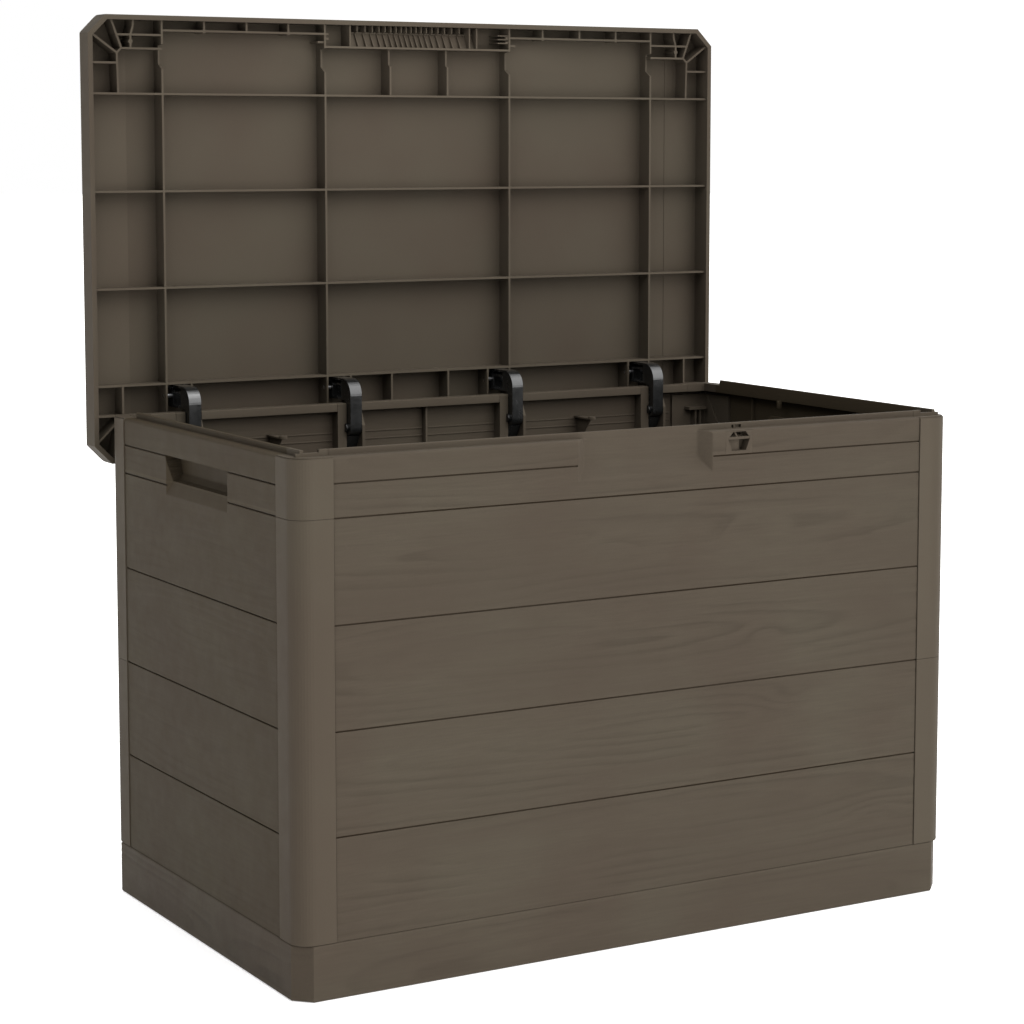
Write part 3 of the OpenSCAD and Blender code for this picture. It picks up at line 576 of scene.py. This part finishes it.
def base_piece():
    """The plinth swept round its octagon, with the floor, the ribs below it and low swages on it."""
    rows = lines(2.0, plinth_h - 2.0, ROW_STEP)
    section = [(4.0, 0.0), (2.0, 0.0), (0.9, 0.3), (0.25, 1.0)]
    cols = list(range(len(section), len(section) + len(rows)))
    section += [(0.0, z) for z in rows]
    section += [(0.2, plinth_h - 1.0), (0.7, plinth_h - 0.3), (1.4, plinth_h), (4.5, plinth_h),
                (4.5, TONGUE_TOP - 0.4), (4.9, TONGUE_TOP), (6.7, TONGUE_TOP), (7.1, TONGUE_TOP - 0.4),
                (7.1, plinth_h - 12), (3.4, plinth_h - 12), (3.4, FLOOR_Z), (3.4, 2.0)]
    m = len(section)
    outline = octagon(0, CUT)
    insets = [octagon(d, CUT if d < 4.4 else TONGUE_CUT) for d, _ in section]
    pts = []
    for i in range(8):
        k = (i + 1) % 8
        length = float(np.linalg.norm(outline[k] - outline[i]))
        for t in np.linspace(0, 1, max(2, round(length / SMALL_STEP)) + 1)[:-1]:
            pts += [[*(inset[i] * (1 - t) + inset[k] * t), z] for inset, (_, z) in zip(insets, section)]
    ring = np.array(pts).reshape(-1, m, 3)
    n = len(ring)

    # grain round the plinth, pushed into each face along its own normal
    along = np.cumsum(np.r_[0, np.linalg.norm(np.diff(ring[:, 4, :2], axis=0), axis=1)])
    g = np.zeros((n, m))
    S, Z = np.meshgrid(along, ring[0, cols, 2], indexing="ij")
    edge = np.clip((Z - 2) / 4, 0, 1) * np.clip((plinth_h - 2 - Z) / 4, 0, 1)
    g[:, cols] = plank_grain(np.mod(S, 780.0) - 390, Z + 12, 171) * edge
    x, y = ring[:, 0, 0], ring[:, 0, 1]
    at_cut = (np.abs(x) > half_w - CUT) & (np.abs(y) > half_d - CUT)
    normal = np.where(at_cut[:, None], -np.sign(ring[:, 0, :2]) * 0.7071, 0)
    on_long, on_short = np.abs(y) >= half_d - 4.2, np.abs(x) >= half_w - 4.2
    normal = np.where(on_long[:, None], np.stack([0 * x, -np.sign(y)], 1), normal)
    normal = np.where(on_short[:, None], np.stack([-np.sign(x), 0 * y], 1), normal)
    ring[:, :, :2] += normal[:, None, :] * (GRAIN_D * g)[:, :, None]

    j, k = np.meshgrid(np.arange(n), np.arange(m), indexing="ij")
    j2, k2 = (j + 1) % n, (k + 1) % m
    quads = np.stack([j * m + k, j2 * m + k, j2 * m + k2, j * m + k2], axis=-1)
    parts = Parts()
    parts.add(ring.reshape(-1, 3), [tuple(q) for q in quads.reshape(-1, 4).tolist()], g.reshape(-1))
    parts.prism([tuple(p) for p in octagon(3.0, CUT)], FLOOR_Z - WALL, FLOOR_Z, "z", 0.2)
    end, half = half_w - 60, 8
    for y in range(-150, 151, 75):
        swage = [(-end, y - half), (end, y - half), (end, y + half), (-end, y + half)]
        parts.prism(rounded(swage, 7.9, 8), FLOOR_Z - 1, FLOOR_Z + 2, "z", 0.9)
    half, long_x, long_y, under = RIB_T / 2, half_w - 3, half_d - 3, FLOOR_Z - 1
    for x in range(-320, 321, 80):
        parts.box([x - half, -long_y, 2], [x + half, long_y, under])
    for y in (-160, -80, 80, 160):
        parts.box([-long_x, y - half, 2], [long_x, y + half, under])
    parts.box([-long_x, -half, 0], [long_x, half, under])
    parts.prism(circle(24, 48), 0, under, "z", 0.8)
    return parts.make("base_with_plinth")


base_obj = base_piece()

# ---------------------------------------------------------------- planks of the lid

lid_low, lid_high = corners("lid_shell")
LID_FIELD = 366.0            # half the width of the planked field
FIELD_EDGE = 14.0            # plain border above and below it
LID_BAY = 110.0              # spacing of its grooves


def lid_planks():
    """The planked field of the lid's top, laid into its shallow recess. The lid stands open: its
    top faces the rear, and its planks lie one above the other."""
    middle = (lid_low[2] + lid_high[2]) / 2
    low, high = lid_low[2] + FIELD_EDGE, lid_high[2] - FIELD_EDGE
    top = lid_high[1]
    marks = [middle + (i - 1.5) * LID_BAY for i in range(4)]
    extra = [at + sign * off for at in marks for off in GROOVE_ROWS for sign in (-1, 1)]
    rows = lines(low + 0.1, high - 0.1, ROW_STEP,
                 extra + [low + 0.3, low + END_ROUND, high - END_ROUND, high - 0.3])
    columns = lines(-LID_FIELD + 0.1, LID_FIELD - 0.1, SMALL_STEP,
                    [sign * (LID_FIELD - e) for e in (0.3, END_ROUND) for sign in (-1, 1)])
    X, Z = np.meshgrid(columns, rows, indexing="ij")
    row = np.clip(np.floor((Z - marks[0]) / LID_BAY) + 1, 0, 4).astype(int)
    g = np.zeros(X.shape)
    for i in range(5):
        here = row == i
        g[here] = plank_grain(X[here], Z[here] - middle - (i - 2) * LID_BAY + 50, 900 + i * 7)
    cut = np.zeros(X.shape)
    for at in marks:
        cut = np.maximum(cut, groove(Z, at))
    g = g * np.clip(1 - cut * 3, 0, 1)
    soft = round_end(np.minimum.reduce([X + LID_FIELD, LID_FIELD - X, Z - low, high - Z]), 0.5)
    Y = top - RECESS + 0.45 - 1.5 * cut - GRAIN_D * g - soft
    n, m = X.shape
    face = np.stack([X, Y, Z], axis=-1).reshape(-1, 3)
    rim = [i * m for i in range(n)] + [(n - 1) * m + i for i in range(1, m)]
    rim += [i * m + m - 1 for i in range(n - 2, -1, -1)] + [i for i in range(m - 2, 0, -1)]
    below = face[rim].copy()
    below[:, 1] = top - RECESS - 1.75
    j, k = np.meshgrid(np.arange(n - 1), np.arange(m - 1), indexing="ij")
    quads = np.stack([j * m + k, j * m + k + 1, (j + 1) * m + k + 1, (j + 1) * m + k], axis=-1)
    start, count = n * m, len(rim)
    faces = [tuple(q) for q in quads.reshape(-1, 4).tolist()]
    faces += [(rim[i], rim[(i + 1) % count], start + (i + 1) % count, start + i) for i in range(count)]
    faces.append(tuple(range(start, start + count)))
    parts = Parts()
    parts.add(np.concatenate([face, below]), faces, np.concatenate([g.reshape(-1), np.zeros(count)]))
    return parts.make("lid_planks")


planks_obj = lid_planks()
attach(planks_obj, "lid")

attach(base_obj, "box")
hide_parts("base_tray")
for obj, node in ((front_obj, "front_panel"), (rear_obj, "rear_panel"),
                  (left_obj, "left_panel"), (right_obj, "right_panel")):
    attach(obj, "box")
    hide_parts(node)

# ---------------------------------------------------------------- carried-over CAD nodes

EDGE_W = 0.5                 # width of a rounded edge
OWN_EDGE_W = {"lid_shell": 0.45, "lid_comb": 0.3, "padlock_eye": 0.35}


def round_edges(obj, width):
    """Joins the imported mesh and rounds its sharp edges."""
    weld = obj.modifiers.new("join", "WELD")
    weld.merge_threshold = 0.00001
    flat = obj.modifiers.new("flat", "DECIMATE")
    flat.decimate_type = "DISSOLVE"
    flat.angle_limit = math.radians(0.6)
    bevel = obj.modifiers.new("round", "BEVEL")
    bevel.width = width * MM
    bevel.segments = 2
    bevel.limit_method = "ANGLE"
    bevel.angle_limit = math.radians(30)
    bevel.use_clamp_overlap = True
    bevel.harden_normals = False
    even = obj.modifiers.new("even", "WEIGHTED_NORMAL")
    even.keep_sharp = True


# ---------------------------------------------------------------- materials


def nodes_of(name):
    mat = bpy.data.materials.new(name)
    mat.use_nodes = True
    tree = mat.node_tree
    return mat, tree, tree.nodes["Principled BSDF"]


def link(tree, a, b):
    tree.links.new(a, b)


def add(tree, kind, **values):
    node = tree.nodes.new(kind)
    for key, value in values.items():
        if key in node.inputs:
            node.inputs[key].default_value = value
        else:
            setattr(node, key, value)
    return node


def noise_node(tree, coords, scale, stretch=(1, 1, 1), detail=3.0, rough=0.5):
    mapping = add(tree, "ShaderNodeMapping")
    mapping.inputs["Scale"].default_value = stretch
    link(tree, coords, mapping.inputs["Vector"])
    tex = add(tree, "ShaderNodeTexNoise", Scale=scale, Detail=detail, Roughness=rough)
    link(tree, mapping.outputs[0], tex.inputs["Vector"])
    return tex.outputs["Fac"]


def ramp(tree, fac, stops):
    node = tree.nodes.new("ShaderNodeValToRGB")
    while len(node.color_ramp.elements) < len(stops):
        node.color_ramp.elements.new(0.5)
    for e, (pos, colour) in zip(node.color_ramp.elements, stops):
        e.position = pos
        e.color = (*colour, 1) if not isinstance(colour, (int, float)) else (colour, colour, colour, 1)
    link(tree, fac, node.inputs["Fac"])
    return node.outputs["Color"]


def mix(tree, kind, fac, a, b):
    node = tree.nodes.new("ShaderNodeMix")
    node.data_type = "RGBA"
    node.blend_type = kind
    if isinstance(fac, (int, float)):
        node.inputs["Factor"].default_value = fac
    else:
        link(tree, fac, node.inputs["Factor"])
    for socket, value in (("A", a), ("B", b)):
        target = [i for i in node.inputs if i.name == socket and i.type == "RGBA"][0]
        if isinstance(value, tuple):
            target.default_value = (*value, 1)
        else:
            link(tree, value, target)
    return [o for o in node.outputs if o.type == "RGBA"][0]


def to_value(tree, fac, low, high):
    node = add(tree, "ShaderNodeMapRange")
    node.clamp = False
    node.inputs["To Min"].default_value = low
    node.inputs["To Max"].default_value = high
    link(tree, fac, node.inputs["Value"])
    return node.outputs["Result"]


def bump(tree, height, strength, distance, normal=None):
    node = add(tree, "ShaderNodeBump", Strength=strength, Distance=distance)
    link(tree, height, node.inputs["Height"])
    if normal:
        link(tree, normal, node.inputs["Normal"])
    return node.outputs["Normal"]


TAUPE = (0.0535, 0.0442, 0.0330)     # the resin's own colour


def shade(colour, by):
    """A colour times one factor, or times one factor for each channel."""
    return tuple(c * k for c, k in zip(colour, by if isinstance(by, tuple) else (by, by, by)))


def resin(name, along=None, tone=1.0, grain=False):
    """Moulded brown resin: fine eggshell skin, slow mottling, wood fibre along one axis with painted shade in
    its relief, and a painted highlight on its edges.
    """
    mat, tree, bsdf = nodes_of(name)
    coords = add(tree, "ShaderNodeTexCoord").outputs["Object"]
    base = shade(TAUPE, tone)
    warm = tuple(c * k for c, k in zip(base, (0.97, 0.93, 0.93)))
    light = tuple(c * k for c, k in zip(base, (1.05, 1.06, 1.05)))
    slow = noise_node(tree, coords, 7.0, (1, 1, 1), 2.0)
    colour = ramp(tree, slow, [(0.35, warm), (0.65, light)])
    skin = noise_node(tree, coords, 1500.0, (1, 1, 1), 2.0)
    colour = mix(tree, "MULTIPLY", 1.0, colour, ramp(tree, skin, [(0.3, 0.955), (0.7, 1.045)]))
    normal = bump(tree, skin, 0.25, 0.00006)
    if grain:
        stretch = tuple(0.05 if i == along else 1.0 for i in range(3))
        fibre = noise_node(tree, coords, 420.0, stretch, 3.0, 0.6)
        colour = mix(tree, "MULTIPLY", 1.0, colour, ramp(tree, fibre, [(0.3, 0.94), (0.7, 1.05)]))
        stored = add(tree, "ShaderNodeAttribute", attribute_name="grain").outputs["Fac"]
        relief = to_value(tree, stored, 0.0, 0.5)
        # painted shade: the grain's valleys are a little darker and its ridges a little lighter, and the
        # bottoms of the grooves are dark
        painted_relief_shade = ramp(tree, relief, [(0.0, 1.04), (0.275, 0.985), (0.5, 0.84), (0.9, (0.52, 0.44, 0.36))])
        colour = mix(tree, "MULTIPLY", 1.0, colour, painted_relief_shade)
        streak = noise_node(tree, coords, 24.0, tuple(0.12 if i == along else 1.0 for i in range(3)), 2.0)
        colour = mix(tree, "MIX", ramp(tree, streak, [(0.42, 0.0), (0.62, 0.55)]), colour, shade(warm, 0.97))
        normal = bump(tree, fibre, 0.3, 0.00016, normal)
    # painted highlight: sharp convex edges are lighter, as if they caught the light
    painted_edge_highlight = ramp(tree, add(tree, "ShaderNodeNewGeometry").outputs["Pointiness"], [(0.52, 0.0), (0.60, 1.0)])
    colour = mix(tree, "MIX", mix(tree, "MULTIPLY", 1.0, painted_edge_highlight, (0.22, 0.22, 0.22)), colour, shade(base, 1.75))
    link(tree, colour, bsdf.inputs["Base Color"])
    smudge = noise_node(tree, coords, 60.0, (1, 1, 1), 3.0)
    link(tree, to_value(tree, smudge, 0.52, 0.72), bsdf.inputs["Roughness"])
    bsdf.inputs["Specular IOR Level"].default_value = 0.06
    bsdf.inputs["Specular Tint"].default_value = (1.0, 0.88, 0.72, 1)
    link(tree, normal, bsdf.inputs["Normal"])
    return mat


def black_plastic(name):
    """Glossy black plastic, slightly wavy, with smudges and a painted highlight that makes its edges paler.
    """
    mat, tree, bsdf = nodes_of(name)
    coords = add(tree, "ShaderNodeTexCoord").outputs["Object"]
    slow = noise_node(tree, coords, 45.0, (1, 1, 1), 3.0)
    colour = ramp(tree, slow, [(0.3, (0.0052, 0.0055, 0.0056)), (0.7, (0.011, 0.0112, 0.011))])
    # painted highlight: sharp convex edges are paler
    painted_edge_highlight = ramp(tree, add(tree, "ShaderNodeNewGeometry").outputs["Pointiness"], [(0.54, 0.0), (0.64, 0.5)])
    colour = mix(tree, "MIX", painted_edge_highlight, colour, (0.03, 0.03, 0.029))
    link(tree, colour, bsdf.inputs["Base Color"])
    smudge = noise_node(tree, coords, 120.0, (1, 1, 0.4), 4.0, 0.6)
    link(tree, to_value(tree, smudge, 0.12, 0.36), bsdf.inputs["Roughness"])
    bsdf.inputs["Specular IOR Level"].default_value = 0.6
    bsdf.inputs["Coat Weight"].default_value = 0.25
    bsdf.inputs["Coat Roughness"].default_value = 0.08
    wave = noise_node(tree, coords, 95.0, (1, 1, 1), 1.0)
    fine = noise_node(tree, coords, 1300.0, (1, 1, 1), 2.0)
    link(tree, bump(tree, fine, 0.15, 0.00004, bump(tree, wave, 0.25, 0.0007)), bsdf.inputs["Normal"])
    return mat


def rivet_steel(name):
    """Brushed grey steel."""
    mat, tree, bsdf = nodes_of(name)
    coords = add(tree, "ShaderNodeTexCoord").outputs["Object"]
    brushed = noise_node(tree, coords, 900.0, (0.1, 1, 1), 3.0)
    grey = ramp(tree, brushed, [(0.3, (0.33, 0.33, 0.34)), (0.7, (0.55, 0.55, 0.56))])
    link(tree, grey, bsdf.inputs["Base Color"])
    link(tree, to_value(tree, brushed, 0.28, 0.48), bsdf.inputs["Roughness"])
    bsdf.inputs["Metallic"].default_value = 1.0
    link(tree, bump(tree, brushed, 0.2, 0.00005), bsdf.inputs["Normal"])
    return mat


def set_material(obj, mat):
    if not obj.data.materials:
        obj.data.materials.append(mat)
    for slot in obj.material_slots:
        slot.link = "OBJECT"
        slot.material = mat


plain = resin("body_resin")
wood_x = resin("body_resin_grain_x", along=0, tone=0.98, grain=True)
# painted shade: the side walls get a darker, cooler copy of the front's resin, a shaded version of the same
# material
shaded_wood_y = resin("body_resin_grain_y_painted_shade", along=1, tone=(0.77, 0.74, 0.65), grain=True)
black = black_plastic("hinge_black")
steel = rivet_steel("rivet_steel")

for obj in (front_obj, rear_obj, base_obj, planks_obj):
    set_material(obj, wood_x)
for obj in (left_obj, right_obj):
    set_material(obj, shaded_wood_y)
REPLACED = {"front_panel", "rear_panel", "left_panel", "right_panel", "base_tray"}
for name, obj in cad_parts.items():
    if name in REPLACED:
        continue
    if name.startswith(("hinge_arm", "hinge_pin", "hinge_stop")):
        set_material(obj, black)
    elif name.startswith("arm_rivet"):
        set_material(obj, steel)
    else:
        set_material(obj, plain)
    round_edges(obj, OWN_EDGE_W.get(name, EDGE_W))

# ---------------------------------------------------------------- stage, light, camera


def material_of_floor():
    """Nearly white, with a slight glow that keeps the shadow of the box faint."""
    mat, tree, bsdf = nodes_of("floor_pale")
    coords = add(tree, "ShaderNodeTexCoord").outputs["Object"]
    tint = noise_node(tree, coords, 2.0, (1, 1, 1), 2.0)
    pale = ramp(tree, tint, [(0.3, 0.93), (0.7, 0.95)])
    link(tree, pale, bsdf.inputs["Base Color"])
    bsdf.inputs["Roughness"].default_value = 0.9
    bsdf.inputs["Emission Color"].default_value = (1, 1, 1, 1)
    bsdf.inputs["Emission Strength"].default_value = 0.4
    return mat


FLOOR_R, FLOOR_SIDES = 40, 96
FLOOR_DROP = 0.0004          # the floor lies just below the box, so that they don't touch
disc = bpy.data.meshes.new("floor")
ring = [(x, y, -FLOOR_DROP) for x, y in circle(FLOOR_R, FLOOR_SIDES)]
disc.from_pydata(ring, [], [tuple(range(FLOOR_SIDES))])
floor = bpy.data.objects.new("floor", disc)
bpy.context.scene.collection.objects.link(floor)
floor.data.materials.append(material_of_floor())

world = bpy.data.worlds.new("studio")
bpy.context.scene.world = world
world.use_nodes = True
sky = world.node_tree
sky.nodes["Background"].inputs["Color"].default_value = (1, 1, 1, 1)


def soft_sky():
    """A white backdrop that lights the box most from above and least from its left."""
    split = add(sky, "ShaderNodeSeparateXYZ")
    link(sky, add(sky, "ShaderNodeTexCoord").outputs["Generated"], split.inputs[0])
    lean = add(sky, "ShaderNodeMath", operation="MULTIPLY_ADD")
    link(sky, split.outputs["X"], lean.inputs[0])
    lean.inputs[1].default_value = 0.7
    link(sky, split.outputs["Z"], lean.inputs[2])
    side = add(sky, "ShaderNodeMapRange")
    for key, value in (("From Min", -0.6), ("From Max", 0.9), ("To Min", 0.12), ("To Max", 1.6)):
        side.inputs[key].default_value = value
    link(sky, lean.outputs[0], side.inputs["Value"])
    seen = add(sky, "ShaderNodeLightPath").outputs["Is Camera Ray"]
    pick = add(sky, "ShaderNodeMath", operation="MAXIMUM")
    link(sky, side.outputs["Result"], pick.inputs[0])
    link(sky, seen, pick.inputs[1])
    link(sky, pick.outputs[0], sky.nodes["Background"].inputs["Strength"])


soft_sky()


def sun(name, toward, strength, angle):
    light = bpy.data.lights.new(name, "SUN")
    light.energy = strength
    light.angle = math.radians(angle)
    obj = bpy.data.objects.new(name, light)
    obj.rotation_euler = Vector(toward).to_track_quat("Z", "Y").to_euler()
    bpy.context.scene.collection.objects.link(obj)


sun("key", (0.42, -0.72, 0.55), 2.15, 70)


def fill_above_opening():
    """A soft light over the opening, behind the front wall: it reaches the lid's cells and the inside."""
    light = bpy.data.lights.new("fill", "AREA")
    light.size, light.energy = 0.3, 0.8
    obj = bpy.data.objects.new("fill", light)
    obj.location = (-0.12, -0.06, 1.02)
    obj.rotation_euler = Vector((-0.45, -0.35, 0.82)).to_track_quat("Z", "Y").to_euler()
    obj.visible_camera = False
    bpy.context.scene.collection.objects.link(obj)


fill_above_opening()

FOCAL_PX, FRAME_PX = 2621.06, 1024
TILT, TURN = 6.071, 30.227
camera = bpy.data.cameras.new("camera")
camera.sensor_width = 36
camera.lens = FOCAL_PX / FRAME_PX * camera.sensor_width
camera.shift_y = -0.09
cam = bpy.data.objects.new("camera", camera)
cam.location = (-1.495157, -2.527469, 0.852887)
cam.rotation_euler = (math.radians(90 - TILT), 0, math.radians(-TURN))
bpy.context.scene.collection.objects.link(cam)
bpy.context.scene.camera = cam
bpy.context.scene.view_settings.view_transform = "Standard"
